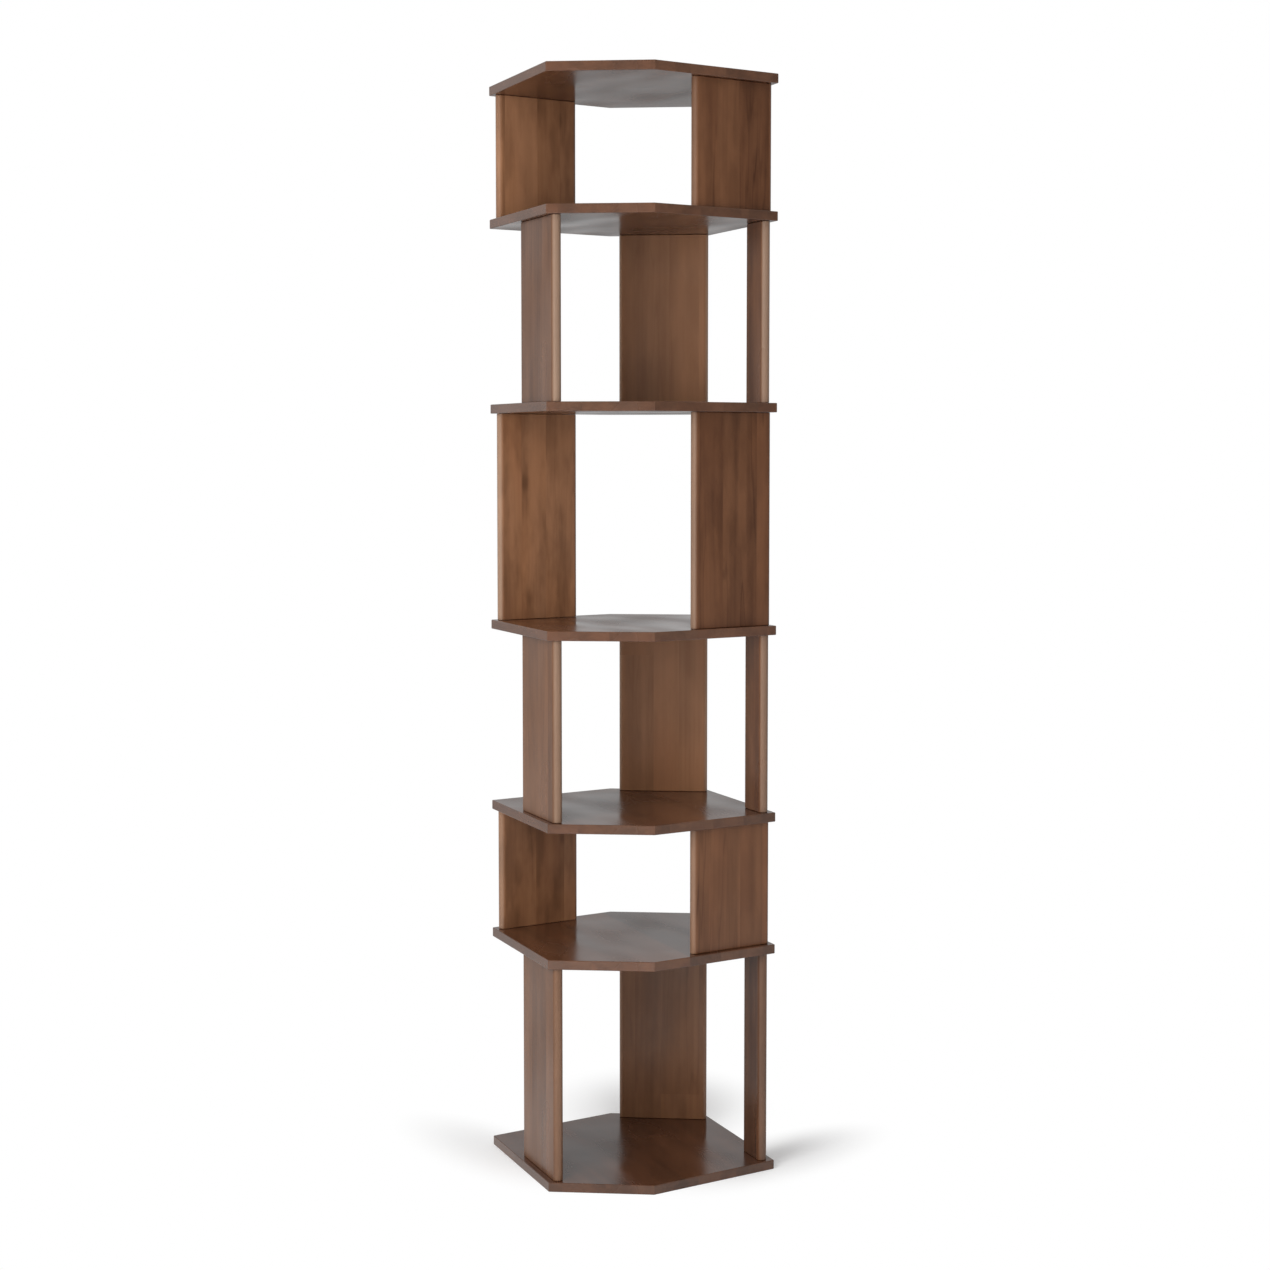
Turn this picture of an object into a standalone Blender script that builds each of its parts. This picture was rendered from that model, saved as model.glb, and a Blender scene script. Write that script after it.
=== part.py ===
"""A free-standing step shelving unit: equal six-sided shelves, one above the other, on upright boards.

Each shelf is an irregular hexagon whose opposite sides are parallel and equal. The boards stand along its
sides and change places from tier to tier. A loose tenon, hidden in a mortise, joins each board end to its
shelf. Sizes are in metres, +Z is up, the front side faces -Y, and the origin is at the middle of the
underside of the base shelf.
"""

import math

import bmesh
import bpy
from mathutils import Matrix, Vector

# Shelf outline: three sides, which repeat in the same order on the far half, and the turns between them
FRONT_SIDE = 0.1905
CORNER_SIDE = 0.268
DEEP_SIDE = 0.306
FRONT_TURN = math.radians(39.0)
CORNER_TURN = math.radians(78.5)

# Shelf board
SHELF_THICKNESS = 0.017
SHELF_ARRIS = 0.001

# Tier heights, from the top of one shelf to the top of the next
TALL_PITCH = 0.404
MIDDLE_PITCH = 0.343
LOW_PITCH = 0.2445

# Upright boards: their section, and how far they stand in from the side they follow and the side they end at
BOARD_THICKNESS = 0.018
BOARD_WIDTH = 0.171
SLAT_WIDTH = 0.072
BOARD_EDGE_RADIUS = 0.0085
SIDE_INSET = 0.0115
END_INSET = 0.0075

# Loose tenons: their section, their depth in a board, and the wood left beyond their ends
TENON_THICKNESS = 0.006
TENON_EDGE_RADIUS = 0.0025
TENON_BOARD_DEPTH = 0.022
BOARD_TENON_COVER = 0.030
SLAT_TENON_COVER = 0.016
SHELF_TENON_COVER = 0.008

# Fits and mesh fineness
JOINT_GAP = 0.0003
MORTISE_CLEARANCE = 0.0003
LEAST_FLAT = 0.0002
WELD_DISTANCE = 0.00001
BOARD_ARC_STEPS = 6
TENON_ARC_STEPS = 3
SMOOTH_ANGLE = math.radians(30.0)

# Sides of the hexagon, anticlockwise from the front
FRONT, FRONT_RIGHT, RIGHT, BACK, BACK_LEFT, LEFT = range(6)

# Each board of a tier: its name, the side it follows, the side it ends at, its width, and its tenons' cover
FRONT_TIER_BOARDS = (
    ("left_board", LEFT, FRONT, BOARD_WIDTH, BOARD_TENON_COVER),
    ("back_board", BACK, RIGHT, BOARD_WIDTH, BOARD_TENON_COVER),
    ("right_slat", RIGHT, FRONT_RIGHT, SLAT_WIDTH, SLAT_TENON_COVER),
)
THROUGH_TIER_BOARDS = (
    ("left_board", BACK_LEFT, LEFT, BOARD_WIDTH, BOARD_TENON_COVER),
    ("right_board", FRONT_RIGHT, RIGHT, BOARD_WIDTH, BOARD_TENON_COVER),
)

# Tiers from the floor up: open to the front, or open right through from front to back
TIERS = (
    (TALL_PITCH, FRONT_TIER_BOARDS),
    (LOW_PITCH, THROUGH_TIER_BOARDS),
    (MIDDLE_PITCH, FRONT_TIER_BOARDS),
    (TALL_PITCH, THROUGH_TIER_BOARDS),
    (MIDDLE_PITCH, FRONT_TIER_BOARDS),
    (LOW_PITCH, THROUGH_TIER_BOARDS),
)

# Finishes: name, base colour and roughness
SHELF_FINISH = ("stained_shelf_wood", (0.105, 0.048, 0.026), 0.42)
BOARD_FINISH = ("stained_board_wood", (0.165, 0.070, 0.030), 0.45)
TENON_FINISH = ("plain_tenon_wood", (0.520, 0.330, 0.180), 0.60)


def clear_scene():
    """Remove every object that the open scene holds."""
    for old in list(bpy.data.objects):
        bpy.data.objects.remove(old, do_unlink=True)


def new_collection(name):
    """A collection of that name under the scene."""
    collection = bpy.data.collections.new(name)
    bpy.context.scene.collection.children.link(collection)
    return collection


def new_finish(name, colour, roughness):
    """A satin wood finish."""
    material = bpy.data.materials.new(name)
    material.use_nodes = True
    shader = material.node_tree.nodes["Principled BSDF"]
    shader.inputs["Base Color"].default_value = (*colour, 1.0)
    shader.inputs["Roughness"].default_value = roughness
    shader.inputs["Metallic"].default_value = 0.0
    return material


def direction(angle):
    """The unit vector in plan at that angle from +X."""
    return Vector((math.cos(angle), math.sin(angle)))


def side_angles():
    """The plan direction of each side, anticlockwise from the front one."""
    half = (0.0, FRONT_TURN, FRONT_TURN + CORNER_TURN)
    return half + tuple(angle + math.pi for angle in half)


def shelf_corners():
    """The corners of a shelf in plan: corner i starts side i, and their middle is the origin."""
    lengths = (FRONT_SIDE, CORNER_SIDE, DEEP_SIDE) * 2
    corner = Vector((0.0, 0.0))
    corners = []
    for length, angle in zip(lengths, side_angles()):
        corners.append(corner)
        corner = corner + length * direction(angle)
    middle = sum(corners, Vector((0.0, 0.0))) / len(corners)
    return [corner - middle for corner in corners]


def board_spot(side, end_side, width):
    """The middle of a board in plan, and its direction towards the side it ends at."""
    angles = side_angles()
    corners = shelf_corners()
    runs_on = end_side == (side + 1) % len(corners)
    shared_corner = corners[end_side] if runs_on else corners[side]
    angle = angles[side] if runs_on else angles[side] + math.pi
    inward = Matrix((direction(angles[side] + math.pi / 2), direction(angles[end_side] + math.pi / 2)))
    insets = Vector((SIDE_INSET + BOARD_THICKNESS / 2, END_INSET + BOARD_THICKNESS / 2))
    round_centre = shared_corner + inward.inverted() @ insets
    return round_centre - direction(angle) * (width - BOARD_THICKNESS) / 2, angle


def rounded_rectangle(length, width, radius, arc_steps):
    """A rectangle about the origin with rounded corners, as points in order."""
    reach = min(radius, width / 2 - LEAST_FLAT)
    points = []
    for quarter, (side_x, side_y) in enumerate(((1, 1), (-1, 1), (-1, -1), (1, -1))):
        centre = Vector((side_x * (length / 2 - reach), side_y * (width / 2 - reach)))
        for step in range(arc_steps + 1):
            points.append(centre + reach * direction((quarter + step / arc_steps) * math.pi / 2))
    return points


def prism(name, outline, height):
    """A closed mesh over a flat outline, from z = 0 up to that height."""
    curve = bpy.data.curves.new(name, "CURVE")
    curve.dimensions = "2D"
    curve.fill_mode = "BOTH"
    curve.extrude = height / 2
    spline = curve.splines.new("POLY")
    spline.points.add(len(outline) - 1)
    for spline_point, point in zip(spline.points, outline):
        spline_point.co = (point.x, point.y, 0.0, 1.0)
    spline.use_cyclic_u = True
    drawn = bpy.data.objects.new(name, curve)
    bpy.context.scene.collection.objects.link(drawn)
    evaluated = drawn.evaluated_get(bpy.context.evaluated_depsgraph_get())
    mesh = bpy.data.meshes.new_from_object(evaluated)
    bpy.data.objects.remove(drawn)
    bpy.data.curves.remove(curve)
    shape = bmesh.new()
    shape.from_mesh(mesh)
    bmesh.ops.remove_doubles(shape, verts=shape.verts, dist=WELD_DISTANCE)
    bmesh.ops.translate(shape, verts=shape.verts, vec=(0.0, 0.0, height / 2))
    bmesh.ops.recalc_face_normals(shape, faces=shape.faces)
    shape.to_mesh(mesh)
    shape.free()
    return mesh


def stand(name, mesh, spot, bottom):
    """An object that stands on z = bottom, over a point in plan and turned about +Z."""
    plan, angle = spot
    piece = bpy.data.objects.new(name, mesh)
    piece.location = (plan.x, plan.y, bottom)
    piece.rotation_euler = (0.0, 0.0, angle)
    return piece


def shade(piece, finish):
    """Give a piece its finish, smooth over its rounds and sharp at its arrises."""
    piece.data.materials.clear()
    piece.data.materials.append(finish)
    piece.data.shade_smooth()
    piece.data.set_sharp_from_angle(angle=SMOOTH_ANGLE)


def cut(piece, cutter):
    """Take a cutter's shape out of a piece."""
    mortise = piece.modifiers.new(cutter.name, "BOOLEAN")
    mortise.operation = "DIFFERENCE"
    mortise.solver = "EXACT"
    mortise.object = cutter


def make_shelf(name, bottom, finish):
    """One shelf: the hexagon at its thickness, with its arrises taken off."""
    middle = (Vector((0.0, 0.0)), 0.0)
    shelf = stand(name, prism(name, shelf_corners(), SHELF_THICKNESS), middle, bottom)
    shade(shelf, finish)
    arris = shelf.modifiers.new("arris", "BEVEL")
    arris.width = SHELF_ARRIS
    arris.segments = 1
    arris.limit_method = "ANGLE"
    arris.angle_limit = SMOOTH_ANGLE
    return shelf


def make_board(name, spot, width, bottom, height, finish):
    """One upright board, its long vertical edges rounded over."""
    section = rounded_rectangle(width, BOARD_THICKNESS, BOARD_EDGE_RADIUS, BOARD_ARC_STEPS)
    board = stand(name, prism(name, section, height), spot, bottom)
    shade(board, finish)
    return board


def make_tenon(name, spot, length, bottom, height, finish):
    """One loose tenon, half in a board's end and half in a shelf."""
    section = rounded_rectangle(length, TENON_THICKNESS, TENON_EDGE_RADIUS, TENON_ARC_STEPS)
    tenon = stand(name, prism(name, section, height), spot, bottom)
    shade(tenon, finish)
    return tenon


def make_mortise_cutter(name, spot, length, bottom, height):
    """The room that a tenon lies in: its own shape, grown by the clearance all round."""
    room = 2 * MORTISE_CLEARANCE
    radius = TENON_EDGE_RADIUS + MORTISE_CLEARANCE
    section = rounded_rectangle(length + room, TENON_THICKNESS + room, radius, TENON_ARC_STEPS)
    cutter = stand(name, prism(name, section, height + room), spot, bottom - MORTISE_CLEARANCE)
    cutter.hide_render = True
    cutter.display_type = "WIRE"
    return cutter


def shelf_name(index):
    """The name of a shelf, counted from the floor."""
    if index == 0:
        return "base_shelf"
    if index == len(TIERS):
        return "top_shelf"
    return f"shelf_{index + 1}"


def make_unit():
    """Every piece of the unit, and the cutters of its mortises."""
    shelf_finish = new_finish(*SHELF_FINISH)
    board_finish = new_finish(*BOARD_FINISH)
    tenon_finish = new_finish(*TENON_FINISH)
    shelf_depth = SHELF_THICKNESS - SHELF_TENON_COVER - MORTISE_CLEARANCE
    tenon_height = TENON_BOARD_DEPTH + JOINT_GAP + shelf_depth

    lower_shelf = make_shelf(shelf_name(0), 0.0, shelf_finish)
    pieces = [lower_shelf]
    cutters = []
    top = SHELF_THICKNESS
    for tier, (pitch, boards) in enumerate(TIERS, start=1):
        underside = top + pitch - SHELF_THICKNESS
        upper_shelf = make_shelf(shelf_name(tier), underside, shelf_finish)
        pieces.append(upper_shelf)
        height = underside - top - 2 * JOINT_GAP
        for board_name, side, end_side, width, cover in boards:
            name = f"tier_{tier}_{board_name}"
            spot = board_spot(side, end_side, width)
            board = make_board(name, spot, width, top + JOINT_GAP, height, board_finish)
            pieces.append(board)
            joints = (
                (f"{name}_lower_tenon", lower_shelf, top - shelf_depth),
                (f"{name}_upper_tenon", upper_shelf, underside + shelf_depth - tenon_height),
            )
            length = width - 2 * cover
            for tenon_name, shelf, bottom in joints:
                pieces.append(make_tenon(tenon_name, spot, length, bottom, tenon_height, tenon_finish))
                cutter = make_mortise_cutter(f"{tenon_name}_mortise", spot, length, bottom, tenon_height)
                cut(board, cutter)
                cut(shelf, cutter)
                cutters.append(cutter)
        lower_shelf = upper_shelf
        top = underside + SHELF_THICKNESS
    return pieces, cutters


def build():
    """Model the unit in a clear scene, its parts in one collection and its cutters in another."""
    clear_scene()
    parts = new_collection("step_shelving_unit")
    tools = new_collection("mortise_cutters")
    frame = bpy.data.objects.new("unit_frame", None)
    parts.objects.link(frame)
    pieces, cutters = make_unit()
    for collection, members in ((parts, pieces), (tools, cutters)):
        for member in members:
            collection.objects.link(member)
            member.parent = frame


build()
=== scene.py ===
"""Finished look of a step shelving unit: six-sided wooden shelves on upright boards.

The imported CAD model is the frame. Every shelf and board is drawn again as a
fine surface where its solid stands, with eased edges, and gets stained,
edge-glued wood worked out by nodes.
"""

import math

import bpy
import numpy as np
from bpy.props import FloatProperty, FloatVectorProperty, IntProperty, PointerProperty
from mathutils import Matrix, Vector
from mathutils.geometry import convex_hull_2d


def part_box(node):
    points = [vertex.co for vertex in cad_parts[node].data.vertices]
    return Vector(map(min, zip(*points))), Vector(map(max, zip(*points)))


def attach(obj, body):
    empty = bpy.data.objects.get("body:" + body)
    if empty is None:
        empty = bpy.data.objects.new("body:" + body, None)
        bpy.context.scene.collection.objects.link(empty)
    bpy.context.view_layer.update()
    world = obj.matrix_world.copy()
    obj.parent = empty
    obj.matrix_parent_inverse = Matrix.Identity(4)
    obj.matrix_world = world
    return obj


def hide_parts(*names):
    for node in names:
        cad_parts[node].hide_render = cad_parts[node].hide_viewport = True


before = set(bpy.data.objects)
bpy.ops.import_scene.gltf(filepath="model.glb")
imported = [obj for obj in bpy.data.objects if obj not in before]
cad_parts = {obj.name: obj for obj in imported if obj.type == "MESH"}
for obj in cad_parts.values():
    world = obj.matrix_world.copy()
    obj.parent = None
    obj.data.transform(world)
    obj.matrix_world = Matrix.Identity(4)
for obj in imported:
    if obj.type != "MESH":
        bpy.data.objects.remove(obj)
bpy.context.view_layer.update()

bl_info = {
    "name": "Step shelving unit",
    "version": (1, 0, 0),
    "blender": (4, 5, 0),
    "location": "View3D > Sidebar > Shelving",
    "description": "Dresses the step shelving unit in stained wood and sets it in a white studio",
    "category": "Object",
}

BODY = "root"
SHELF_SIDES = 6
BOARD_FACES = 2
TIERS = 6
BACK_BOARDS = 3
# A back board stands in every second tier.
BACK_BOARD_STEP = 2
FLOOR_SIDES = 96
# Decimals to which two points of a CAD outline count as one.
OUTLINE_DECIMALS = 6
# Name of the attribute that rises to 1 on the edges where a slab is paler,
# part thinned stain and part painted highlight.
RIM = "rim"
# The numbers of a figure, the way one board's wood differs from the next one's.
FIGURE_PARTS = 6
FIGURE_TEXT = "Tone, depth of blotches, bands and veins, shift of hue and share of knots"

WHITE = (1.0, 1.0, 1.0, 1.0)
# Strength at which a background or an emission is plain white.
WHITE_STRENGTH = 1.0
# Rise from the pale side of the room to the dim one, and from a shadow's middle to its rim.
DIM_RISE = (-0.4, 0.8)
SHADOW_RISE = (0.1, 1.0)

# Places of the sockets of a colour Mix node, whose names repeat.
MIX_FACTOR = 0
MIX_A = 6
MIX_B = 7
MIX_RESULT = 2

# Middle of noise and of chances, which run from 0 to 1.
MIDDLE = 0.5

# Noise in wood: swells in a metre across the grain and along it, detail and roughness.
CLOUD = (27.0, 9.0, 3.0, 0.55)
BAND = (46.0, 1.2, 2.0, 0.50)
SWELL = (9.0, 2.2, 1.0, 0.50)
STREAK = (120.0, 4.0, 3.0, 0.60)
FIBRE = (700.0, 16.0, 2.0, 0.60)
PORE = (1300.0, 60.0, 1.0, 0.50)
FLOW = (26.0, 1.5, 2.0, 0.60)
TINT = (14.0, 2.6, 1.0, 0.50)
GLOSS = (15.0, 6.0, 0.0, 0.50)
WAVE = (9.0, 9.0, 1.0, 0.50)

# Levels between which noise turns into blotches, bands, pores and patches of another hue.
BLOTCH_RISE = (0.34, 0.66)
BAND_RISE = (0.36, 0.64)
PORE_RISE = (0.60, 0.72)
TINT_RISE = (0.36, 0.64)
# A vein's half width, in levels of its noise, and the swells in which veins show.
VEIN_WIDTH = (0.002, 0.022)
VEIN_SWELL = (0.40, 0.58)

# Glued strips: how their width wavers, how far each piece's strips shift from the last one's, the
# width of a seam, and the number that sets one row of chances apart from another.
UNEVEN_TURN = 2.4
UNEVEN_WIDTH = 0.12
GOLDEN = (math.sqrt(5) - 1) / 2
SEAM_WIDTH = 0.0008
OTHER_CHANCES = 0.5
# Metres of a log, across and along it, from which the lengths are taken.
LOG_WIDTH = 3.0
LOG_LENGTH = 5.0

# Knots: places in a metre across and along the grain, and the reach of the hump and of its eye.
KNOTS_ACROSS = 11.0
KNOTS_ALONG = 5.5
HUMP_REACH = (0.0, 0.42)
EYE_REACH = (0.02, 0.13)

# Growth rings: the heart's spread beside a strip, its least depth and range, and its lean; how far
# swells and knots move a ring, and a ring's width.
HEART_SPREAD = 1.6
HEART_DEPTH = 0.012
HEART_RANGE = 0.060
HEART_LEAN = 0.13
RING_WAVER = 0.020
RING_HUMP = 0.011
RING_WIDTH = 0.0085
# Part of a ring in which late wood rises and ends, and the swells in which it shows.
LATE_RISE = (0.30, 0.90)
LATE_END = (0.92, 1.0)
LATE_SWELL = (0.30, 0.62)

# Odd lengths: the chance above which a length is one, and the hue above which it is paler.
ODD_CHANCE = 0.86
ODD_HUE = 0.3

# How far each mark moves the wood between its deep and its pale stain.
STRIP_SHADE = 0.26
ODD_SHADE = 0.18
SWELL_SHADE = 0.30
STREAK_SHADE = 0.07
FIBRE_SHADE = 0.06
LATE_SHADE = 0.05
SEAM_SHADE = 0.05
PORE_SHADE = 0.015
HUMP_SHADE = 0.10
EYE_SHADE = 0.26

# How far each chance moves the stain from the reddish to the greenish tint, and where it starts.
LENGTH_HUE = 0.25
STRIP_HUE = 0.20
TINT_HUE = 0.40
LEAST_HUE = 0.075
REDDISH = (1.03, 0.93, 0.86, 1.0)
GREENISH = (0.97, 1.04, 1.02, 1.0)

# Paler edges, part thinned stain and part painted highlight: where the rim begins to pale and
# where it is palest, and how swells of the wood break that up.
WEAR_AND_SHEEN_RISE = (0.24, 0.82)
WEAR_AND_SHEEN_LEAST = 0.6
WEAR_AND_SHEEN_SWELL = 0.8

# Heights of the surface in millimetres, a millimetre, and changes of roughness.
FIBRE_HEIGHT = 0.001
STREAK_HEIGHT = 0.002
PORE_DEPTH = 0.001
WAVE_HEIGHT = 1.2
MILLIMETRE = 0.001
PORE_ROUGHNESS = 0.03
GLOSS_ROUGHNESS = 0.35


def nodes_named(start="", ending=""):
    """Names of the CAD nodes that start and end in these words, in order."""
    names = sorted(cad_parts)
    return [name for name in names if name.startswith(start) and name.endswith(ending)]


SHELVES = ["base_shelf", *nodes_named(start="shelf_"), "top_shelf"]
BOARDS = nodes_named(ending="_board")
SLATS = nodes_named(ending="_slat")
TENONS = nodes_named(ending="_tenon")


class ShelfLook(bpy.types.PropertyGroup):
    """Edges and stain of the shelves."""

    roughness: FloatProperty(
        name="Roughness",
        description="Mean roughness of the clear coat",
        subtype="FACTOR",
        default=0.22,
    )
    shine: FloatProperty(
        name="Shine",
        description="Strength of the clear coat's gloss",
        subtype="FACTOR",
        default=0.62,
    )
    arris: FloatProperty(
        name="Arris",
        description="Radius of the upper and lower edges",
        unit="LENGTH",
        default=0.0014,
    )
    corner: FloatProperty(
        name="Corner",
        description="Radius of the upright corners",
        unit="LENGTH",
        default=0.0022,
    )
    stave: FloatProperty(
        name="Stave width",
        description="Width of one glued strip",
        unit="LENGTH",
        default=0.083,
    )
    block: FloatProperty(
        name="Stave length",
        description="Length of one strip between its end joints",
        unit="LENGTH",
        default=1.9,
    )
    pale: FloatVectorProperty(
        name="Pale wood",
        description="Lightest stained wood",
        subtype="COLOR",
        default=(0.152, 0.0615, 0.0312),
    )
    deep: FloatVectorProperty(
        name="Deep wood",
        description="Darkest stained wood",
        subtype="COLOR",
        default=(0.0405, 0.0153, 0.0078),
    )
    figure: FloatVectorProperty(
        name="Figure",
        description=FIGURE_TEXT,
        size=FIGURE_PARTS,
        default=(0.0, 0.26, 0.16, 0.08, -0.25, 0.02),
    )
    # Paler colour on the shelves' upright edges: partly stain thinned with use, partly a painted
    # highlight in place of the gloss on the front edges.
    worn_and_sheen: FloatVectorProperty(
        name="Worn wood",
        description="Wood where the stain is rubbed off",
        subtype="COLOR",
        default=(0.44, 0.31, 0.225),
    )
    edge_wear_and_sheen: FloatProperty(
        name="Edge wear",
        description="Share of worn wood on the upright edges",
        subtype="FACTOR",
        default=0.07,
    )


class BoardLook(bpy.types.PropertyGroup):
    """Edges and stain of the upright boards."""

    roughness: FloatProperty(
        name="Roughness",
        description="Mean roughness of the clear coat",
        subtype="FACTOR",
        default=0.35,
    )
    shine: FloatProperty(
        name="Shine",
        description="Strength of the clear coat's gloss",
        subtype="FACTOR",
        default=0.48,
    )
    round_over: FloatProperty(
        name="Round-over",
        description="Radius of the long edges",
        unit="LENGTH",
        default=0.0085,
    )
    ease: FloatProperty(
        name="Eased ends",
        description="Radius of the edges at the foot and head",
        unit="LENGTH",
        default=0.0013,
    )
    stave: FloatProperty(
        name="Stave width",
        description="Width of one glued strip",
        unit="LENGTH",
        default=0.061,
    )
    block: FloatProperty(
        name="Stave length",
        description="Length of one strip between its end joints",
        unit="LENGTH",
        default=5.0,
    )
    pale: FloatVectorProperty(
        name="Pale wood",
        description="Lightest stained wood",
        subtype="COLOR",
        default=(0.330, 0.152, 0.076),
    )
    deep: FloatVectorProperty(
        name="Deep wood",
        description="Darkest stained wood",
        subtype="COLOR",
        default=(0.072, 0.027, 0.011),
    )
    # The greyer hue of these boards is part wood tint and part painted sheen, the grey of their
    # gloss.
    front_left_figure: FloatVectorProperty(
        name="Front left boards",
        description=f"{FIGURE_TEXT}, in the tiers open to the front",
        size=FIGURE_PARTS,
        default=(-0.18, 0.10, 0.10, 0.06, 0.45, 0.0),
    )
    left_figure: FloatVectorProperty(
        name="Left boards",
        description=f"{FIGURE_TEXT}, in the tiers open to both sides",
        size=FIGURE_PARTS,
        default=(0.36, 0.40, 0.18, 0.10, 0.15, 0.65),
    )
    right_figure: FloatVectorProperty(
        name="Right boards",
        description=FIGURE_TEXT,
        size=FIGURE_PARTS,
        default=(-0.18, 0.16, 0.14, 0.16, -0.45, 0.04),
    )
    # The greyer hue of these boards is part wood tint and part painted sheen, the grey of their
    # gloss.
    back_figure: FloatVectorProperty(
        name="Back boards",
        description=FIGURE_TEXT,
        size=FIGURE_PARTS,
        default=(0.36, 0.16, 0.18, 0.08, 0.35, 0.04),
    )
    slat_figure: FloatVectorProperty(
        name="Slats",
        description=FIGURE_TEXT,
        size=FIGURE_PARTS,
        default=(-0.22, 0.14, 0.12, 0.06, -0.30, 0.0),
    )
    # Paler colour on the boards' round edges: partly stain thinned with use, partly a painted
    # highlight.
    worn_and_sheen: FloatVectorProperty(
        name="Worn wood",
        description="Wood where the stain is rubbed off",
        subtype="COLOR",
        default=(0.44, 0.31, 0.225),
    )
    # The share on each tier follows the height at which the soft boxes' highlight falls on the
    # round edges, brightest in the middle tiers: painted highlight.
    edge_wear_and_sheen: FloatVectorProperty(
        name="Edge wear",
        description="Share of worn wood on each tier's round edges, from the floor up",
        size=TIERS,
        default=(0.15, 0.30, 0.37, 0.45, 0.48, 0.14),
    )
    left_tones: FloatVectorProperty(
        name="Left tones",
        description="Tone that each tier's left board adds, from the floor up",
        size=TIERS,
        default=(0.05, -0.09, 0.10, 0.10, -0.05, -0.11),
    )
    right_tones: FloatVectorProperty(
        name="Right tones",
        description="Tone that each tier's right board or slat adds, from the floor up",
        size=TIERS,
        default=(-0.12, 0.19, 0.0, -0.04, 0.06, -0.08),
    )
    back_tones: FloatVectorProperty(
        name="Back tones",
        description="Tone that each back board adds, from the floor up by the tiers that have one",
        size=BACK_BOARDS,
        default=(-0.17, 0.24, 0.05),
    )


class TenonLook(bpy.types.PropertyGroup):
    """Plain wood of the loose tenons inside the joints."""

    roughness: FloatProperty(
        name="Roughness",
        description="Mean roughness of the bare wood",
        subtype="FACTOR",
        default=0.55,
    )
    shine: FloatProperty(
        name="Shine",
        description="Strength of the bare wood's gloss",
        subtype="FACTOR",
        default=0.30,
    )
    stave: FloatProperty(
        name="Stave width",
        description="Width of one strip, wider than any tenon",
        unit="LENGTH",
        default=0.40,
    )
    block: FloatProperty(
        name="Stave length",
        description="Length of one strip, longer than any tenon",
        unit="LENGTH",
        default=4.0,
    )
    pale: FloatVectorProperty(
        name="Pale wood",
        description="Lightest bare wood",
        subtype="COLOR",
        default=(0.60, 0.40, 0.23),
    )
    deep: FloatVectorProperty(
        name="Deep wood",
        description="Darkest bare wood",
        subtype="COLOR",
        default=(0.40, 0.23, 0.11),
    )
    figure: FloatVectorProperty(
        name="Figure",
        description=FIGURE_TEXT,
        size=FIGURE_PARTS,
        default=(0.0, 0.20, 0.12, 0.06, 0.0, 0.0),
    )


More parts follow.
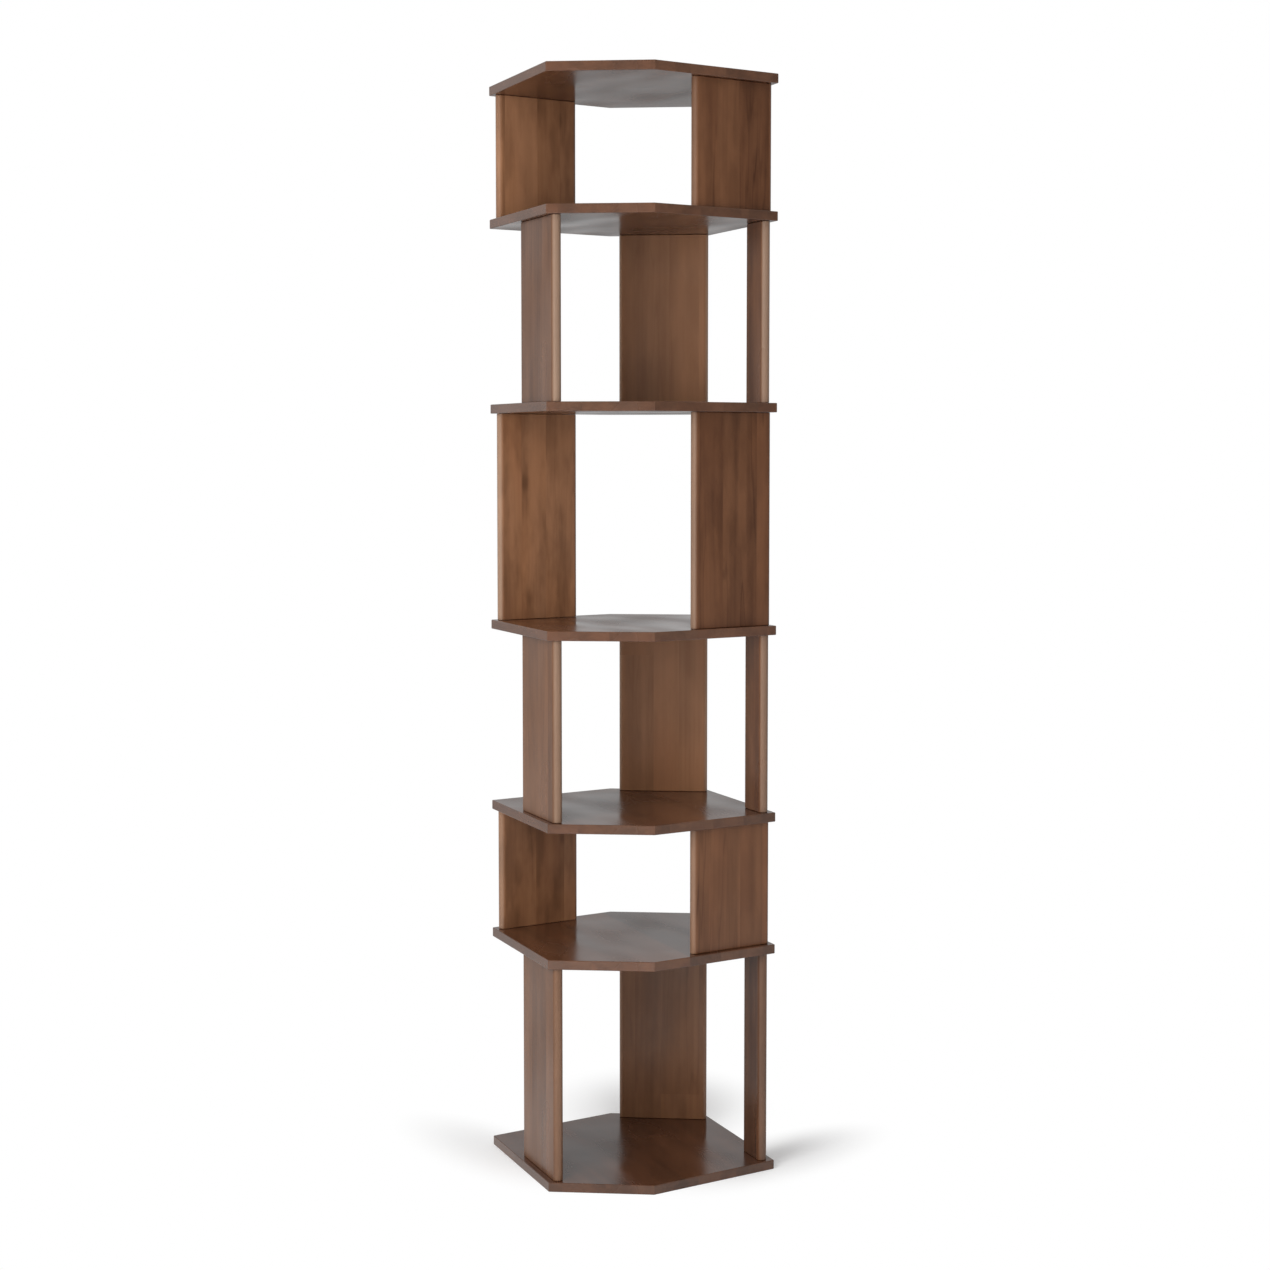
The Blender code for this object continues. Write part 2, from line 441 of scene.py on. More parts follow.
class StageLook(bpy.types.PropertyGroup):
    """Floor, light and camera of the studio."""

    floor: FloatVectorProperty(
        name="Floor",
        description="Colour of the floor",
        subtype="COLOR",
        default=(0.88, 0.88, 0.88),
    )
    floor_radius: FloatProperty(
        name="Floor radius",
        description="Size of the floor",
        unit="LENGTH",
        default=14.0,
    )
    floor_lift: FloatProperty(
        name="Floor lift",
        description="White that the floor shows beyond its own light",
        default=0.16,
    )
    side_shadow: FloatVectorProperty(
        name="Side shadow",
        description="Middle of the shadow on the right of the base, which the left one mirrors",
        size=2,
        unit="LENGTH",
        default=(0.27, 0.01),
    )
    side_shadow_size: FloatVectorProperty(
        name="Side shadow size",
        description="Half length and half width",
        size=2,
        unit="LENGTH",
        default=(0.33, 0.13),
    )
    side_shadow_turn: FloatProperty(
        name="Side shadow turn",
        description="Turn of the shadow beside the base",
        unit="ROTATION",
        default=math.radians(50.0),
    )
    back_shadow: FloatVectorProperty(
        name="Back shadow",
        description="Middle of the shadow behind the base",
        size=2,
        unit="LENGTH",
        default=(0.01, 0.33),
    )
    back_shadow_size: FloatVectorProperty(
        name="Back shadow size",
        description="Half width and half depth",
        size=2,
        unit="LENGTH",
        default=(0.26, 0.34),
    )
    room_light: FloatProperty(
        name="Room light",
        description="Light from the pale side of the room",
        default=0.50,
    )
    room_dark: FloatProperty(
        name="Room dark",
        description="Light from the dim side of the room",
        default=0.08,
    )
    dim_side: FloatVectorProperty(
        name="Dim side",
        description="Way to the dim side of the room",
        subtype="DIRECTION",
        default=(0.55, -0.80, -0.25),
    )
    gloss_share: FloatProperty(
        name="White in gloss",
        description="Share of the white background that gloss and glass show",
        default=0.08,
    )
    key_power: FloatProperty(
        name="Key light",
        description="Power of the soft box",
        unit="POWER",
        default=46.0,
    )
    key_place: FloatVectorProperty(
        name="Key place",
        description="Middle of the soft box",
        subtype="XYZ",
        unit="LENGTH",
        default=(-1.31, -2.47, 1.85),
    )
    key_size: FloatVectorProperty(
        name="Key size",
        description="Width and height of the soft box",
        size=2,
        unit="LENGTH",
        default=(0.95, 2.4),
    )
    fill_power: FloatProperty(
        name="Fill light",
        description="Power of the second soft box",
        unit="POWER",
        default=7.0,
    )
    fill_place: FloatVectorProperty(
        name="Fill place",
        description="Middle of the second soft box",
        subtype="XYZ",
        unit="LENGTH",
        default=(0.68, -1.88, 1.4),
    )
    fill_size: FloatVectorProperty(
        name="Fill size",
        description="Width and height of the second soft box",
        size=2,
        unit="LENGTH",
        default=(0.6, 1.2),
    )
    front_power: FloatProperty(
        name="Front light",
        description="Power of the small light in front",
        unit="POWER",
        default=9.0,
    )
    front_place: FloatVectorProperty(
        name="Front place",
        description="Middle of the small light",
        subtype="XYZ",
        unit="LENGTH",
        default=(-0.55, -2.2, 1.25),
    )
    front_size: FloatVectorProperty(
        name="Front size",
        description="Width and height of the small light",
        size=2,
        unit="LENGTH",
        default=(0.30, 1.8),
    )
    top_power: FloatProperty(
        name="Top light",
        description="Power of the light overhead",
        unit="POWER",
        default=26.0,
    )
    top_place: FloatVectorProperty(
        name="Top place",
        description="Middle of the light overhead",
        subtype="XYZ",
        unit="LENGTH",
        default=(-0.2, -0.9, 3.6),
    )
    top_size: FloatVectorProperty(
        name="Top size",
        description="Width and depth of the light overhead",
        size=2,
        unit="LENGTH",
        default=(2.4, 1.8),
    )
    aim: FloatVectorProperty(
        name="Aim",
        description="Point that the boxes of light face",
        subtype="XYZ",
        unit="LENGTH",
        default=(0.0, 0.0, 1.05),
    )
    eye: FloatVectorProperty(
        name="Eye",
        description="Place of the camera",
        subtype="XYZ",
        unit="LENGTH",
        default=(0.3854, -4.2026, 1.3276),
    )
    yaw: FloatProperty(
        name="Yaw",
        description="Turn of the camera to the left",
        unit="ROTATION",
        default=math.radians(5.146),
    )
    pitch: FloatProperty(
        name="Pitch",
        description="Tilt of the camera downwards",
        unit="ROTATION",
        default=math.radians(3.999),
    )
    lens: FloatProperty(
        name="Lens",
        description="Focal length in millimetres",
        default=64.726,
    )
    sensor: FloatProperty(
        name="Sensor",
        description="Width of the film in millimetres",
        default=36.0,
    )
    rise: FloatProperty(
        name="Shift",
        description="Shift of the film, as a share of its width",
        default=-0.02,
    )


class ShelvingLook(bpy.types.PropertyGroup):
    """All settings of the shelving unit."""

    shelf: PointerProperty(name="Shelves", description="Look of the shelves", type=ShelfLook)
    board: PointerProperty(name="Boards", description="Look of the boards", type=BoardLook)
    tenon: PointerProperty(name="Tenons", description="Look of the tenons", type=TenonLook)
    stage: PointerProperty(name="Stage", description="Look of the studio", type=StageLook)
    arc_steps: IntProperty(
        name="Arc steps",
        description="Facets in the round of a corner",
        default=10,
        min=2,
    )


class Value:
    """A number that varies over a surface.

    It wraps an output socket, which Python's operators turn into Math nodes.
    """

    def __init__(self, recipe, socket):
        self.recipe = recipe
        self.socket = socket

    def math(self, operation, *others):
        return self.recipe.math(operation, self, *others)

    def __add__(self, other):
        return self.math("ADD", other)

    def __radd__(self, other):
        return self.recipe.math("ADD", other, self)

    def __sub__(self, other):
        return self.math("SUBTRACT", other)

    def __rsub__(self, other):
        return self.recipe.math("SUBTRACT", other, self)

    def __mul__(self, other):
        return self.math("MULTIPLY", other)

    def __rmul__(self, other):
        return self.recipe.math("MULTIPLY", other, self)

    def __truediv__(self, other):
        return self.math("DIVIDE", other)

    def __rtruediv__(self, other):
        return self.recipe.math("DIVIDE", other, self)

    def __abs__(self):
        return self.math("ABSOLUTE")

    def floor(self):
        return self.math("FLOOR")

    def fraction(self):
        return self.math("FRACT")

    def root(self):
        return self.math("SQRT")

    def over(self, other):
        """1 where this is greater than the other, else 0."""
        return self.math("GREATER_THAN", other)

    def swing(self):
        """How far this is from the middle of noise or of a chance."""
        return self - MIDDLE


class Recipe:
    """The node tree of one material or world."""

    def __init__(self, tree):
        self.tree = tree
        tree.nodes.clear()

    def node(self, kind, settings=None, sockets=None):
        """Adds a node of this type: its settings first, then a number or a link for each socket."""
        made = self.tree.nodes.new(kind)
        for name, setting in (settings or {}).items():
            setattr(made, name, setting)
        for name, given in (sockets or {}).items():
            self.feed(made.inputs[name], given)
        return made

    def feed(self, socket, given):
        """Links a Value or a socket to this socket, or sets its number."""
        if isinstance(given, Value):
            given = given.socket
        if isinstance(given, bpy.types.NodeSocket):
            self.tree.links.new(given, socket)
        else:
            socket.default_value = given

    def math(self, operation, *values):
        """A Math node on numbers."""
        made = self.node("ShaderNodeMath", {"operation": operation}, dict(enumerate(values)))
        return Value(self, made.outputs[0])

    def vector(self, operation, *values):
        """A Vector Math node on vectors, whose outputs are a vector and a number."""
        made = self.node("ShaderNodeVectorMath", {"operation": operation}, dict(enumerate(values)))
        return made.outputs

    def join(self, x, y, z):
        """A vector from three numbers."""
        return self.node("ShaderNodeCombineXYZ", None, {0: x, 1: y, 2: z}).outputs[0]

    def split(self, vector):
        """The three numbers of a vector."""
        made = self.node("ShaderNodeSeparateXYZ", None, {0: vector})
        return [Value(self, out) for out in made.outputs]

    def noise(self, place, kind):
        """Smooth noise from 0 to 1, as close across and along the third axis as its kind says."""
        across, along, detail, roughness = kind
        stretched = self.vector("MULTIPLY", place, (across, across, along))["Vector"]
        made = self.node(
            "ShaderNodeTexNoise",
            None,
            {"Vector": stretched, "Scale": 1.0, "Detail": detail, "Roughness": roughness},
        )
        return Value(self, made.outputs[0])

    def chances(self, x, y, z):
        """Three even chances from 0 to 1 for each triple of numbers."""
        made = self.node(
            "ShaderNodeTexWhiteNoise", {"noise_dimensions": "3D"}, {"Vector": self.join(x, y, z)}
        )
        return self.split(made.outputs["Color"])

    def step(self, value, low, high):
        """0 below low, 1 above high, and a smooth rise between."""
        made = self.node(
            "ShaderNodeMapRange",
            {"interpolation_type": "SMOOTHSTEP"},
            {"Value": value, "From Min": low, "From Max": high},
        )
        return Value(self, made.outputs[0])

    def fall(self, value, low, high):
        """1 below low, 0 above high, and a smooth fall between."""
        return 1.0 - self.step(value, low, high)

    def mix(self, factor, a, b, blend="MIX", beyond=False):
        """Colour a, or colour b to the share of the factor, which may go beyond both if asked."""
        made = self.node(
            "ShaderNodeMix",
            {
                "data_type": "RGBA",
                "blend_type": blend,
                "clamp_factor": not beyond,
                "clamp_result": True,
            },
            {MIX_FACTOR: factor, MIX_A: a, MIX_B: b},
        )
        return made.outputs[MIX_RESULT]

    def blend(self, factor, a, b):
        """Shader a, or shader b to the share of the factor."""
        return self.node("ShaderNodeMixShader", None, {0: factor, 1: a, 2: b}).outputs[0]


def opaque(colour):
    """A colour with full alpha."""
    return (*colour, 1.0)


def grain_place(recipe, turn, centre):
    """Object coordinates about a piece's middle, turned so that the grain runs along the third."""
    return recipe.node(
        "ShaderNodeMapping",
        {"vector_type": "POINT"},
        {
            "Vector": recipe.node("ShaderNodeTexCoord").outputs["Object"],
            "Location": -(turn @ centre),
            "Rotation": turn.to_euler(),
        },
    ).outputs[0]


def knots(recipe, across, along, share):
    """Hump round each knot, and its dark eye.

    Scattered points are the places for knots, and this share of them has one. Each
    falls off with the distance from its point, and runs straight through the slab.
    """
    places = recipe.node(
        "ShaderNodeTexVoronoi",
        {"feature": "F1", "voronoi_dimensions": "2D"},
        {"Vector": recipe.join(across * KNOTS_ACROSS, along * KNOTS_ALONG, 0.0), "Scale": 1.0},
    )
    chance, _, _ = recipe.split(places.outputs["Color"])
    knotty = chance.over(1.0 - share)
    distance = places.outputs["Distance"]
    return [recipe.fall(distance, *reach) * knotty for reach in (HUMP_REACH, EYE_REACH)]


def late_wood(recipe, beside, below, swell, hump):
    """Dark end of each growth ring.

    The rings are the distance from the heart line over the width of a ring. A
    swell makes that distance waver and a knot adds its hump, so that the rings
    bend round it.
    """
    heart = (beside * beside + below * below).root()
    radius = heart + swell.swing() * RING_WAVER + hump * hump * RING_HUMP
    ring = (radius / RING_WIDTH).fraction()
    in_ring = recipe.step(ring, *LATE_RISE) * recipe.fall(ring, *LATE_END)
    return in_ring * recipe.step(swell, *LATE_SWELL)


def stained_wood(name, turn, centre, seed, look, figure, wear_and_sheen=0.0):
    """Edge-glued solid wood under stain and a satin coat.

    The turn lays the grain along the third axis. Strips of uneven width are cut
    across it and into lengths along it; each length has its own shade, hue and
    place in a log, whose heart line leans a little. Blotches, bands, streaks
    and fibres are noise drawn out along the grain, and veins are the level
    lines of such noise. The figure gives the tone, the depth of the blotches,
    bands and veins, a shift of hue and the share of places with a knot.
    Where the piece's rim attribute rises, wear_and_sheen is the share of paler
    wood that shows, partly stain thinned with use and partly a painted
    highlight. The coat's gloss changes in soft clouds.
    """
    tone, blotch_depth, band_depth, vein_depth, hue_shift, knot_share = figure
    material = bpy.data.materials.new(name)
    material.use_nodes = True
    recipe = Recipe(material.node_tree)
    grain = grain_place(recipe, turn, centre)
    across, through, along = recipe.split(grain)

    strips = across / look.stave
    uneven = recipe.math("SINE", strips * UNEVEN_TURN + seed) * UNEVEN_WIDTH
    strips = strips + uneven + seed * GOLDEN % 1.0
    strip = strips.floor()
    in_strip = (strips - strip).swing() * look.stave
    seam = recipe.fall(look.stave / 2 - abs(in_strip), 0.0, SEAM_WIDTH)
    strip_shade, strip_slide, strip_hue = recipe.chances(strip, seed, OTHER_CHANCES)
    length = (along / look.block + strip_slide).floor()
    shade, heart_side, heart_depth = recipe.chances(strip, length, seed)
    lean, hue, slide = recipe.chances(strip, length, seed + OTHER_CHANCES)

    log_across = across + slide * LOG_WIDTH
    log_along = along + hue * LOG_LENGTH
    log = recipe.join(log_across, through + shade * LOG_WIDTH, log_along)
    swell, streak, fibre, flow = [
        recipe.noise(log, kind) for kind in (SWELL, STREAK, FIBRE, FLOW)
    ]
    blotch = recipe.step(recipe.noise(log, CLOUD), *BLOTCH_RISE)
    band = recipe.step(recipe.noise(log, BAND), *BAND_RISE)
    pore = recipe.step(recipe.noise(log, PORE), *PORE_RISE)
    tint = recipe.step(recipe.noise(log, TINT), *TINT_RISE)
    vein = recipe.fall(abs(flow.swing()), *VEIN_WIDTH) * recipe.step(swell, *VEIN_SWELL)

    hump, eye = knots(recipe, log_across, log_along, knot_share)
    beside = in_strip - heart_side.swing() * look.stave * HEART_SPREAD
    depth = through + HEART_DEPTH + heart_depth * HEART_RANGE
    late = late_wood(recipe, beside, depth + lean.swing() * HEART_LEAN * along, swell, hump)

    shading = (
        MIDDLE
        + tone
        + strip_shade.swing() * STRIP_SHADE
        + shade.over(ODD_CHANCE) * (hue - ODD_HUE) * ODD_SHADE
        + blotch.swing() * blotch_depth
        + band.swing() * band_depth
        + swell.swing() * SWELL_SHADE
        + streak.swing() * STREAK_SHADE
        + fibre.swing() * FIBRE_SHADE
        - late * LATE_SHADE
        - vein * vein_depth
        - seam * SEAM_SHADE
        - pore * PORE_SHADE
        - hump * HUMP_SHADE
        - eye * EYE_SHADE
    )
    stain = recipe.mix(shading, opaque(look.deep), opaque(look.pale), beyond=True)
    hues = hue * LENGTH_HUE + strip_hue * STRIP_HUE + tint * TINT_HUE + LEAST_HUE + hue_shift
    colour = recipe.mix(1.0, stain, recipe.mix(hues, REDDISH, GREENISH), "MULTIPLY")
    # Paler wood on the rims: partly stain thinned with use, partly a painted highlight.
    if wear_and_sheen > 0.0:
        rim = recipe.node("ShaderNodeAttribute", {"attribute_name": RIM}).outputs["Fac"]
        rubbed_and_sheen = recipe.step(rim, *WEAR_AND_SHEEN_RISE) * (WEAR_AND_SHEEN_LEAST + swell * WEAR_AND_SHEEN_SWELL) * wear_and_sheen
        colour = recipe.mix(rubbed_and_sheen, colour, opaque(look.worn_and_sheen))

    marks = fibre * FIBRE_HEIGHT + streak * STREAK_HEIGHT - pore * PORE_DEPTH
    height = marks + recipe.noise(grain, WAVE) * WAVE_HEIGHT
    bump = recipe.node(
        "ShaderNodeBump", None, {"Strength": 1.0, "Distance": MILLIMETRE, "Height": height}
    )
    clouds = recipe.noise(grain, GLOSS).swing() * GLOSS_ROUGHNESS
    surface = recipe.node(
        "ShaderNodeBsdfPrincipled",
        None,
        {
            "Base Color": colour,
            "Roughness": look.roughness + pore * PORE_ROUGHNESS - clouds,
            "Specular IOR Level": look.shine,
            "Normal": bump.outputs[0],
        },
    )
    recipe.node("ShaderNodeOutputMaterial", None, {"Surface": surface.outputs[0]})
    return material


def plan_outline(node):
    """The outline of a CAD node seen from above: the hull of its points, anticlockwise."""
    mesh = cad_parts[node].data
    points = np.empty(len(mesh.vertices) * 3, np.float32)
    mesh.vertices.foreach_get("co", points)
    plan = points.reshape(-1, 3)[:, :2].round(OUTLINE_DECIMALS)
    plan = np.unique(plan, axis=0).astype(float)
    hull = plan[convex_hull_2d(plan.tolist())]
    area = np.sum(cross(hull, np.roll(hull, -1, axis=0)))
    return hull if area > 0 else hull[::-1]


def longest_sides(outline, count):
    """Starts, unit directions and lengths of an outline's longest sides, in order round it."""
    sides = np.roll(outline, -1, axis=0) - outline
    lengths = np.linalg.norm(sides, axis=1)
    chosen = np.sort(np.argsort(lengths)[-count:])
    return outline[chosen], sides[chosen] / lengths[chosen, None], lengths[chosen]


def cross(a, b):
    """The upright part of the cross product of plan vectors."""
    return a[..., 0] * b[..., 1] - a[..., 1] * b[..., 0]


def shelf_corners(node):
    """Sharp corners of a shelf: each long side of its outline carried on to meet the next."""
    start, way, _ = longest_sides(plan_outline(node), SHELF_SIDES)
    next_start = np.roll(start, -1, axis=0)
    next_way = np.roll(way, -1, axis=0)
    reach = cross(next_start - start, next_way) / cross(way, next_way)
    return start + reach[:, None] * way


def shelf_grain(node):
    """The way the grain runs in a shelf: along the longest sides of its outline."""
    _, way, lengths = longest_sides(plan_outline(node), SHELF_SIDES)
    return way[np.argmax(lengths)]


def board_corners(node):
    """Sharp corners of an upright board, and the way along its face.

    The face runs along the outline's longest side; the corners are the
    outline's furthest reaches along the face and square to it.
    """
    outline = plan_outline(node)
    _, ways, _ = longest_sides(outline, BOARD_FACES)
    face = ways[0]
    square = np.array((-face[1], face[0]))
    along, out = outline @ face, outline @ square
    left, right, front, back = along.min(), along.max(), out.min(), out.max()
    reach = ((left, front), (right, front), (right, back), (left, back))
    return np.array([a * face + o * square for a, o in reach]), face


def eased_slab(name, corners, corner_radius, low, high, ease, steps, edge_way=None):
    """A closed upright slab with rounded corners and eased upper and lower edges.

    Its plan is an arc at each corner, about the point that lies the radius
    inside both sides, turned from one side's outward normal to the next
    side's. Its edge profile is a quarter circle at the foot, a straight rise
    and a quarter circle at the head. A point is the arc's centre plus its
    normal times the radius less the profile's inset, at the profile's height.
    Its rim attribute is how far the surface faces outwards: along the edge way
    and against it, or all round where none is given.
    """
    way = np.roll(corners, -1, axis=0) - corners
    way /= np.linalg.norm(way, axis=1)[:, None]
    normal = np.stack((way[:, 1], -way[:, 0]), axis=1)
    before = np.roll(normal, 1, axis=0)
    together = 1.0 + np.sum(before * normal, axis=1)
    centres = corners - corner_radius * (before + normal) / together[:, None]
    first = np.arctan2(before[:, 1], before[:, 0])
    turn = np.arctan2(cross(before, normal), together - 1.0)
    angles = first[:, None] + turn[:, None] * np.linspace(0.0, 1.0, steps + 1)
    arcs = np.stack((np.cos(angles), np.sin(angles)), axis=2).reshape(-1, 2)
    hubs = np.repeat(centres, steps + 1, axis=0)

    quarter = np.linspace(0.0, math.pi / 2, steps // 2 + 1)
    lean = np.concatenate((np.sin(quarter), np.cos(quarter)))
    lift = np.concatenate((-np.cos(quarter), np.sin(quarter)))
    inset = ease * (1.0 - lean)
    foot = low + ease * (1.0 - np.cos(quarter))
    head = high - ease * (1.0 - np.sin(quarter))
    rise = np.concatenate((foot, head))

    rings, round_count = len(rise), len(arcs)
    plan = hubs[None] + (corner_radius - inset)[:, None, None] * arcs[None]
    heights, lifts = [
        np.broadcast_to(level[:, None, None], (rings, round_count, 1)) for level in (rise, lift)
    ]
    points = np.concatenate((plan, heights), axis=2)
    normals = np.concatenate((lean[:, None, None] * arcs[None], lifts), axis=2)

    index = np.arange(rings * round_count).reshape(rings, round_count)
    beside = np.roll(index, -1, axis=1)
    walls = np.stack((index[:-1], beside[:-1], beside[1:], index[1:]), axis=2).reshape(-1, 4)
    faces = walls.tolist() + [index[0, ::-1].tolist(), index[-1].tolist()]

    mesh = bpy.data.meshes.new(name)
    mesh.from_pydata(points.reshape(-1, 3).tolist(), [], faces)
    mesh.polygons.foreach_set("use_smooth", np.ones(len(faces), bool))
    mesh.normals_split_custom_set_from_vertices(normals.reshape(-1, 3).tolist())
    if mesh.validate():
        raise RuntimeError(f"{name} is not a sound mesh")
    turned = np.ones(round_count) if edge_way is None else np.abs(arcs @ edge_way)
    rim = mesh.attributes.new(RIM, "FLOAT", "POINT")
    rim.data.foreach_set("value", np.outer(lean, turned).ravel())
    piece = bpy.data.objects.new(name, mesh)
    bpy.context.scene.collection.objects.link(piece)
    return piece


def stand_in_for(piece, node, material):
    """The piece takes the CAD node's place, rides with the unit and wears the material."""
    piece.data.materials.append(material)
    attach(piece, BODY)
    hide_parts(node)


def tier_of(node):
    """The number of a board's tier, counted from 0 at the floor."""
    return int(node.split("_")[1]) - 1


def board_figure(node, look):
    """Figure of a board by where it stands, with its tier's tone added.

    A left board with a back one in its tier stands further forward.
    """
    tier = tier_of(node)
    if node.endswith("right_slat"):
        figure, tone = look.slat_figure, look.right_tones[tier]
    elif node.endswith("back_board"):
        figure, tone = look.back_figure, look.back_tones[tier // BACK_BOARD_STEP]
    elif node.endswith("right_board"):
        figure, tone = look.right_figure, look.right_tones[tier]
    elif node.replace("left", "back") in BOARDS:
        figure, tone = look.front_left_figure, look.left_tones[tier]
    else:
        figure, tone = look.left_figure, look.left_tones[tier]
    return figure[0] + tone, *figure[1:]


def raise_boards(names, settings, first_seed):
    """Draws these boards where their solids stand, with upright grain."""
    look = settings.board
    for seed, node in enumerate(names, first_seed):
        corners, face = board_corners(node)
        low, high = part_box(node)
        piece = eased_slab(
            f"{node}_wood",
            corners,
            look.round_over,
            low.z,
            high.z,
            look.ease,
            settings.arc_steps,
            face,
        )
        turn = Matrix(((face[0], face[1], 0.0), (-face[1], face[0], 0.0), (0.0, 0.0, 1.0)))
        wood = stained_wood(
            f"{node}_stain",
            turn,
            (low + high) / 2,
            seed,
            look,
            board_figure(node, look),
            look.edge_wear_and_sheen[tier_of(node)],
        )
        stand_in_for(piece, node, wood)


class SHELVING_OT_shelves(bpy.types.Operator):
    """Draws the seven six-sided shelves with eased edges and long staves"""

    bl_idname = "shelving.shelves"
    bl_label = "Make the shelves"

    def execute(self, context):
        settings = context.scene.shelving
        look = settings.shelf
        for seed, node in enumerate(SHELVES, 1):
            low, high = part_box(node)
            piece = eased_slab(
                f"{node}_wood",
                shelf_corners(node),
                look.corner,
                low.z,
                high.z,
                look.arris,
                settings.arc_steps,
            )
            way = shelf_grain(node)
            turn = Matrix(((-way[1], way[0], 0.0), (0.0, 0.0, 1.0), (way[0], way[1], 0.0)))
            wood = stained_wood(
                f"{node}_stain",
                turn,
                (low + high) / 2,
                seed,
                look,
                look.figure,
                look.edge_wear_and_sheen,
            )
            stand_in_for(piece, node, wood)
        return {"FINISHED"}


class SHELVING_OT_boards(bpy.types.Operator):
    """Draws the wide upright boards with rounded long edges"""

    bl_idname = "shelving.boards"
    bl_label = "Make the boards"

    def execute(self, context):
        raise_boards(BOARDS, context.scene.shelving, len(SHELVES) + 1)
        return {"FINISHED"}


class SHELVING_OT_slats(bpy.types.Operator):
    """Draws the narrow upright slats with rounded long edges"""

    bl_idname = "shelving.slats"
    bl_label = "Make the slats"

    def execute(self, context):
        raise_boards(SLATS, context.scene.shelving, len(SHELVES) + len(BOARDS) + 1)
        return {"FINISHED"}


class SHELVING_OT_tenons(bpy.types.Operator):
    """Gives the hidden loose tenons their plain wood"""

    bl_idname = "shelving.tenons"
    bl_label = "Finish the tenons"

    def execute(self, context):
        look = context.scene.shelving.tenon
        wood = stained_wood("tenon_plain_wood", Matrix.Identity(3), Vector(), 1, look, look.figure)
        for node in TENONS:
            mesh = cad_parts[node].data
            mesh.materials.clear()
            mesh.materials.append(wood)
        return {"FINISHED"}


def white_background(recipe, look):
    """Share of the white that a ray sees: all for the camera, some for gloss and glass."""
    path = recipe.node("ShaderNodeLightPath")
    camera, gloss, glass = [
        Value(recipe, path.outputs[f"Is {kind} Ray"])
        for kind in ("Camera", "Glossy", "Transmission")
    ]
    return recipe.math("MINIMUM", camera + (gloss + glass) * look.gloss_share, 1.0)


def light_room(look):
    """Soft light all round, dimmer from one side, behind which the background is plain white."""
    world = bpy.data.worlds.new("white_studio")
    world.use_nodes = True
    recipe = Recipe(world.node_tree)
    way = recipe.node("ShaderNodeTexCoord").outputs["Generated"]
    dim = recipe.vector("DOT_PRODUCT", way, look.dim_side)["Value"]
    pale, dark, white = [
        recipe.node("ShaderNodeBackground", None, {"Color": WHITE, "Strength": level}).outputs[0]
        for level in (look.room_light, look.room_dark, WHITE_STRENGTH)
    ]
    light = recipe.blend(recipe.step(dim, *DIM_RISE), pale, dark)
    shown = recipe.blend(white_background(recipe, look), light, white)
    recipe.node("ShaderNodeOutputWorld", None, {"Surface": shown})
    bpy.context.scene.world = world


def lay_floor(look):
    """A round pale floor: its rim is the radius times the cosine and sine of each angle.

    In patches beside and behind the base it shows its own light and the unit's
    real shadow, lifted a little towards white, so that each patch is also a
    painted shadow; it is plain white outside them.
    """
    angles = np.linspace(0.0, 2 * math.pi, FLOOR_SIDES, endpoint=False)
    rim = np.stack((np.cos(angles), np.sin(angles), np.zeros(FLOOR_SIDES)), axis=1)
    mesh = bpy.data.meshes.new("floor")
    mesh.from_pydata((rim * look.floor_radius).tolist(), [], [list(range(FLOOR_SIDES))])
    floor = bpy.data.objects.new("floor", mesh)
    bpy.context.scene.collection.objects.link(floor)

    material = bpy.data.materials.new("pale_floor")
    material.use_nodes = True
    recipe = Recipe(material.node_tree)
    seen = white_background(recipe, look)
    place = recipe.node("ShaderNodeTexCoord").outputs["Object"]
    across, back, _ = recipe.split(place)

    def patch(beside, middle, reach, turn):
        """1 in the middle of an ellipse on the floor, falling smoothly to 0 at its rim."""
        over = beside - middle[0]
        on = back - middle[1]
        main_way = (over * math.cos(turn) + on * math.sin(turn)) / reach[0]
        cross_way = (on * math.cos(turn) - over * math.sin(turn)) / reach[1]
        return recipe.fall((main_way * main_way + cross_way * cross_way).root(), *SHADOW_RISE)

    beside_base = patch(
        abs(across), look.side_shadow, look.side_shadow_size, look.side_shadow_turn
    )
    behind_base = patch(across, look.back_shadow, look.back_shadow_size, 0.0)
    # Painted shadow patches: inside them the floor stays greyer than the white around, beside its
    # real shadow.
    kept = recipe.math("MAXIMUM", beside_base, behind_base)
    matt = recipe.node("ShaderNodeBsdfDiffuse", None, {"Color": opaque(look.floor)}).outputs[0]
    lift, white = [
        recipe.node("ShaderNodeEmission", None, {"Color": WHITE, "Strength": level}).outputs[0]
        for level in (look.floor_lift, WHITE_STRENGTH)
    ]
    lifted = recipe.node("ShaderNodeAddShader", None, {0: matt, 1: lift}).outputs[0]
    shown = recipe.blend(seen, matt, recipe.blend(kept, white, lifted))
    recipe.node("ShaderNodeOutputMaterial", None, {"Surface": shown})
    mesh.materials.append(material)


def hang_light(name, place, aim, size, power):
    """A rectangular soft light, turned to face a point. Gloss shows the room and not the lamp."""
    lamp = bpy.data.lights.new(name, "AREA")
    lamp.shape = "RECTANGLE"
    lamp.size, lamp.size_y = size
    lamp.energy = power
    light = bpy.data.objects.new(name, lamp)
    light.location = place
    light.visible_glossy = False
    light.rotation_euler = (Vector(aim) - Vector(place)).to_track_quat("-Z", "Y").to_euler()
    bpy.context.scene.collection.objects.link(light)


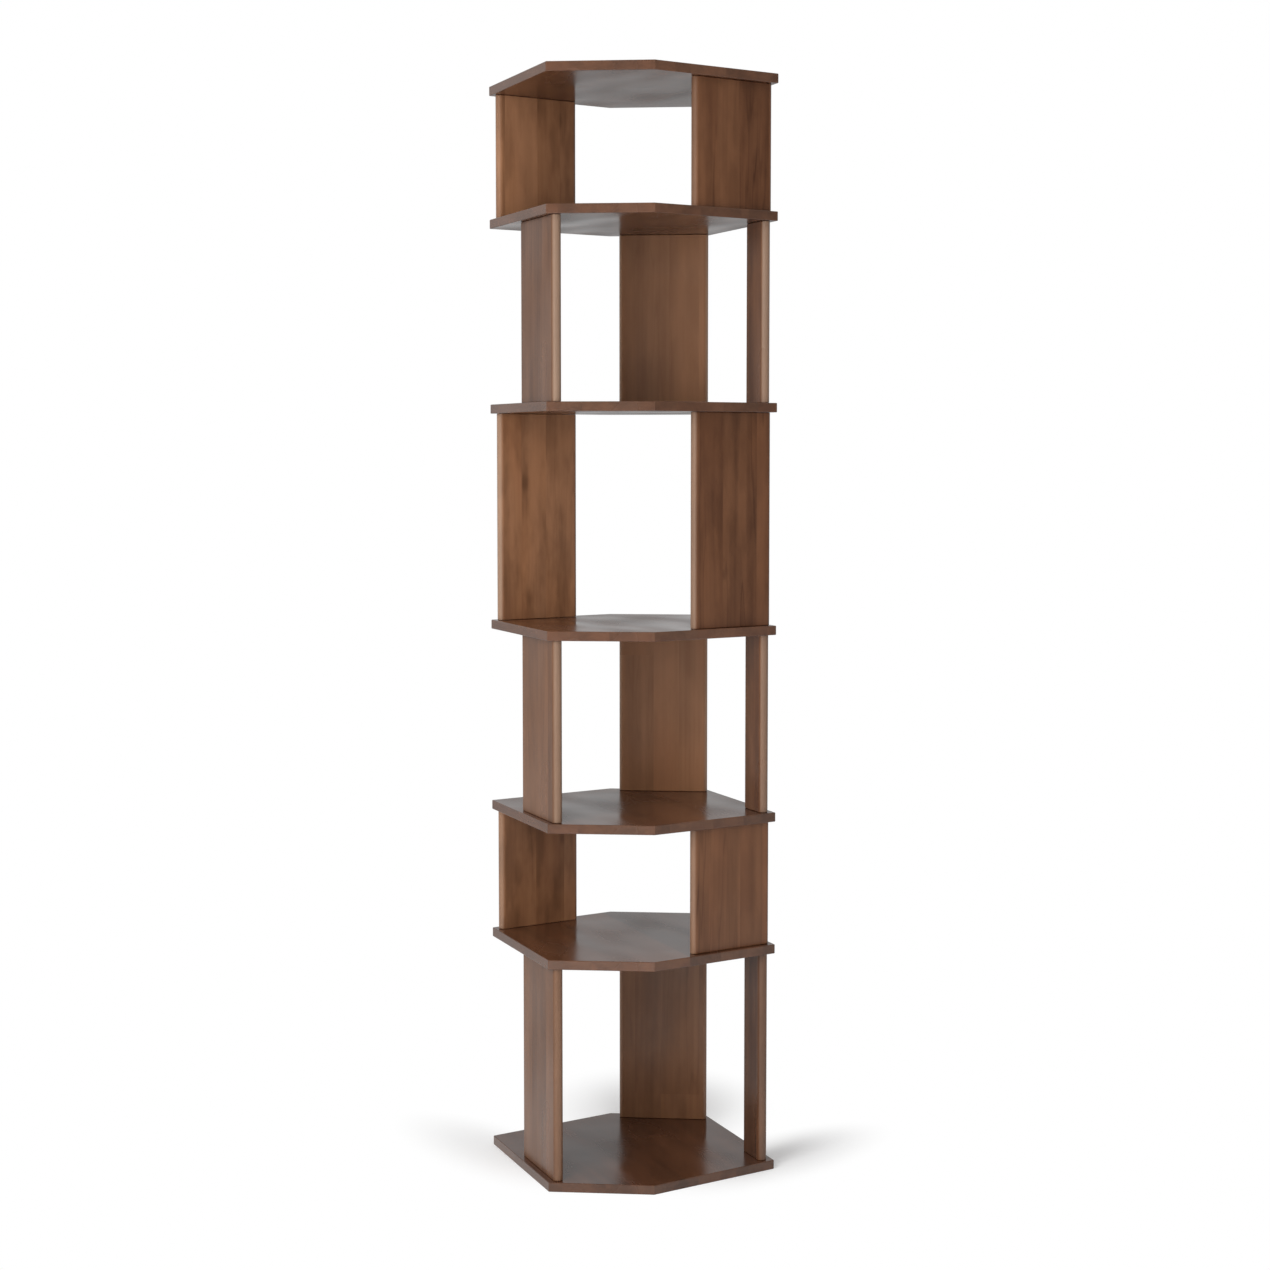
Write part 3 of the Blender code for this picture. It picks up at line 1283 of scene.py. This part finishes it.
def set_camera(look):
    """The camera at the photograph's height and angle."""
    film = bpy.data.cameras.new("camera")
    film.lens = look.lens
    film.sensor_width = look.sensor
    film.shift_y = look.rise
    camera = bpy.data.objects.new("camera", film)
    camera.location = look.eye
    camera.rotation_euler = (math.pi / 2 - look.pitch, 0.0, look.yaw)
    bpy.context.scene.collection.objects.link(camera)
    bpy.context.scene.camera = camera


class SHELVING_OT_stage(bpy.types.Operator):
    """Lays the floor, lights the unit and sets the camera"""

    bl_idname = "shelving.stage"
    bl_label = "Set the stage"

    def execute(self, context):
        look = context.scene.shelving.stage
        context.scene.view_settings.view_transform = "Standard"
        light_room(look)
        lay_floor(look)
        hang_light("soft_box", look.key_place, look.aim, look.key_size, look.key_power)
        hang_light("fill_box", look.fill_place, look.aim, look.fill_size, look.fill_power)
        hang_light("front_box", look.front_place, look.aim, look.front_size, look.front_power)
        hang_light("top_light", look.top_place, Vector(), look.top_size, look.top_power)
        set_camera(look)
        return {"FINISHED"}


class SHELVING_PT_panel(bpy.types.Panel):
    """Lists the settings and the steps that make the unit"""

    bl_idname = "SHELVING_PT_panel"
    bl_label = "Step shelving unit"
    bl_space_type = "VIEW_3D"
    bl_region_type = "UI"
    bl_category = "Shelving"

    def draw(self, context):
        settings = context.scene.shelving
        for title in ("shelf", "board", "tenon", "stage"):
            look = getattr(settings, title)
            column = self.layout.column(heading=title.capitalize())
            for name in look.__annotations__:
                column.prop(look, name)
        self.layout.prop(settings, "arc_steps")
        for step in STEPS:
            self.layout.operator(step.bl_idname)


STEPS = (
    SHELVING_OT_shelves,
    SHELVING_OT_boards,
    SHELVING_OT_slats,
    SHELVING_OT_tenons,
    SHELVING_OT_stage,
)
CLASSES = (ShelfLook, BoardLook, TenonLook, StageLook, ShelvingLook, *STEPS, SHELVING_PT_panel)


def register():
    for made in CLASSES:
        bpy.utils.register_class(made)
    bpy.types.Scene.shelving = PointerProperty(type=ShelvingLook)


def unregister():
    del bpy.types.Scene.shelving
    for made in reversed(CLASSES):
        bpy.utils.unregister_class(made)


def main():
    """Registers the add-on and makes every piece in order."""
    register()
    bpy.ops.shelving.shelves()
    bpy.ops.shelving.boards()
    bpy.ops.shelving.slats()
    bpy.ops.shelving.tenons()
    bpy.ops.shelving.stage()


if __name__ == "__main__":
    main()
